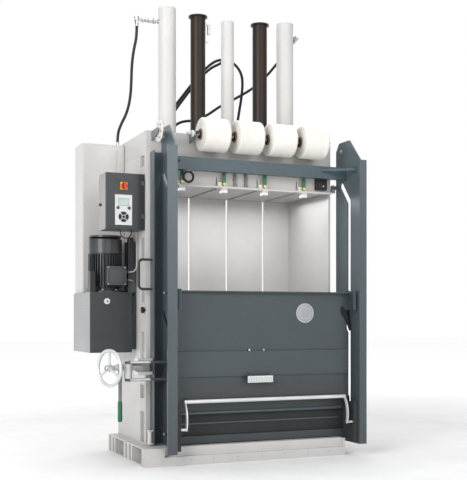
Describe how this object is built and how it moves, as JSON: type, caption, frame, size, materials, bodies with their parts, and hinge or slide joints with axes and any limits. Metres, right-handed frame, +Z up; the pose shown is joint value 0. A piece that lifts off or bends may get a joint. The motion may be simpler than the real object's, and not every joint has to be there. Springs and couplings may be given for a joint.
{
  "type": "recycling baler",
  "caption": "Upright baling press for waste, with a swing door, a lifting loading flap, press platen, strap rolls and side power pack.",
  "frame": {"origin": "centre of the base's underside, on the floor", "axes": "+X to the right, +Y to the back, +Z up; the door and loading opening face -Y"},
  "size_m": [1.7788, 0.971, 3],
  "materials": {
    "white_paint": "satin powder coat",
    "dark_tube_paint": "satin",
    "grey_paint": "satin powder coat",
    "dark_grey_paint": "semi-gloss",
    "bright_steel": "zinc plated",
    "black_plastic": "matte",
    "white_plastic": "woven plastic strap",
    "zinc_sheet": "galvanised",
    "brass_blocks": "cast",
    "green_plastic": "moulded grip",
    "lever_steel": "zinc plated, dipped grip",
    "key_plate": "membrane",
    "red_plastic": "moulded",
    "hose_rubber": "matte rubber"
  },
  "bodies": {
    "press_frame": {"base_frame": "white_paint", "left_wall": "white_paint", "right_wall": "white_paint", "back_wall": "white_paint", "head_frame": "white_paint", "press_cylinders": "white_paint", "guide_tubes": "dark_tube_paint", "centre_cylinder": "white_paint", "hinge_brackets": "bright_steel", "roll_axle": "bright_steel", "roll_brackets": "zinc_sheet", "end_discs": "white_plastic", "strap_rail": "white_paint", "clamp_blocks": "brass_blocks", "service_cabinet": "white_paint", "control_box": "grey_paint", "power_pack_box": "grey_paint", "filler_cap": "bright_steel", "motor_body": "dark_grey_paint", "motor_cowl": "dark_grey_paint", "terminal_box": "dark_grey_paint", "pump_block": "dark_grey_paint", "junction_box": "black_plastic", "lock_keeper": "bright_steel", "hose_fittings": "bright_steel", "tube_sensor": "bright_steel", "hose_left": "hose_rubber", "hose_loop": "hose_rubber", "hose_centre": "hose_rubber", "hose_right": "hose_rubber", "control_cable": "hose_rubber"},
    "front_door": {"door_post_left": "grey_paint", "door_post_right": "grey_paint", "door_crossbeam": "grey_paint", "lower_door": "grey_paint", "slot_guards": "grey_paint", "door_handle": "dark_grey_paint", "lock_arms": "grey_paint", "hinge_knuckles": "grey_paint"},
    "loading_flap": {"flap_panel": "grey_paint", "flap_arms": "grey_paint", "flap_rollers": "black_plastic", "pull_bar": "bright_steel"},
    "ejector": {"ejector_bar": "bright_steel"},
    "platen": {"press_platen": "white_paint", "piston_rods": "bright_steel"},
    "lock_swivel": {"lock_spindle": "bright_steel"},
    "wheel": {"handwheel": "bright_steel"},
    "lever": {"lock_lever": "lever_steel"},
    "box_door": {"control_door": "grey_paint", "key_panel": "key_plate"},
    "main_switch": {"switch_knob": "red_plastic"},
    "roll_1": {"strap_roll_1": "white_plastic"},
    "roll_2": {"strap_roll_2": "white_plastic"},
    "roll_3": {"strap_roll_3": "white_plastic"},
    "roll_4": {"strap_roll_4": "white_plastic"},
    "clamp_1": {"clamp_lever_1": "green_plastic"},
    "clamp_2": {"clamp_lever_2": "green_plastic"},
    "clamp_3": {"clamp_lever_3": "green_plastic"},
    "clamp_4": {"clamp_lever_4": "green_plastic"}
  },
  "joints": [
    {"name": "door_swing", "type": "hinge", "parent": "press_frame", "child": "front_door", "pos_m": [0.731, -0.19, 1], "axis": [0, 0, 1], "range_deg": [0, 110]},
    {"name": "flap_lift", "type": "slide", "parent": "front_door", "child": "loading_flap", "axis": [0, 0, 1], "range_m": [0, 0.63]},
    {"name": "ejector_tilt", "type": "hinge", "parent": "front_door", "child": "ejector", "pos_m": [0, -0.46, 0.225], "axis": [1, 0, 0], "range_deg": [0, 60]},
    {"name": "platen_press", "type": "slide", "parent": "press_frame", "child": "platen", "axis": [0, 0, -1], "range_m": [0, 0.73]},
    {"name": "lock_swing", "type": "hinge", "parent": "front_door", "child": "lock_swivel", "pos_m": [-0.779, -0.324, 0.59], "axis": [0, 0, 1], "range_deg": [-60, 0]},
    {"name": "handwheel_spin", "type": "hinge", "parent": "lock_swivel", "child": "wheel", "pos_m": [-0.91185, -0.38454, 0.61], "axis": [0.91, 0.4147, 0], "continuous": true},
    {"name": "lock_lever_swing", "type": "hinge", "parent": "lock_swivel", "child": "lever", "pos_m": [-0.83542, -0.34971, 0.61], "axis": [0.91, 0.4147, 0], "range_deg": [-60, 60]},
    {"name": "box_door_swing", "type": "hinge", "parent": "press_frame", "child": "box_door", "pos_m": [-0.634, -0.2025, 1.65], "axis": [0, 0, 1], "range_deg": [0, 90]},
    {"name": "switch_turn", "type": "hinge", "parent": "box_door", "child": "main_switch", "pos_m": [-0.769, -0.2058, 1.742], "axis": [0, -1, 0], "range_deg": [0, 90]},
    {"name": "roll_spin_1", "type": "hinge", "parent": "press_frame", "child": "roll_1", "pos_m": [-0.216, -0.33, 2.08], "axis": [1, 0, 0], "continuous": true},
    {"name": "roll_spin_2", "type": "hinge", "parent": "press_frame", "child": "roll_2", "pos_m": [0.019, -0.33, 2.08], "axis": [1, 0, 0], "continuous": true},
    {"name": "roll_spin_3", "type": "hinge", "parent": "press_frame", "child": "roll_3", "pos_m": [0.254, -0.33, 2.08], "axis": [1, 0, 0], "continuous": true},
    {"name": "roll_spin_4", "type": "hinge", "parent": "press_frame", "child": "roll_4", "pos_m": [0.489, -0.33, 2.08], "axis": [1, 0, 0], "continuous": true},
    {"name": "clamp_turn_1", "type": "hinge", "parent": "press_frame", "child": "clamp_1", "pos_m": [-0.4005, -0.258, 1.784], "axis": [0, 1, 0], "range_deg": [0, 80]},
    {"name": "clamp_turn_2", "type": "hinge", "parent": "press_frame", "child": "clamp_2", "pos_m": [-0.1095, -0.258, 1.784], "axis": [0, 1, 0], "range_deg": [0, 80]},
    {"name": "clamp_turn_3", "type": "hinge", "parent": "press_frame", "child": "clamp_3", "pos_m": [0.1815, -0.258, 1.784], "axis": [0, 1, 0], "range_deg": [0, 80]},
    {"name": "clamp_turn_4", "type": "hinge", "parent": "press_frame", "child": "clamp_4", "pos_m": [0.4725, -0.258, 1.784], "axis": [0, 1, 0], "range_deg": [0, 80]}
  ]
}
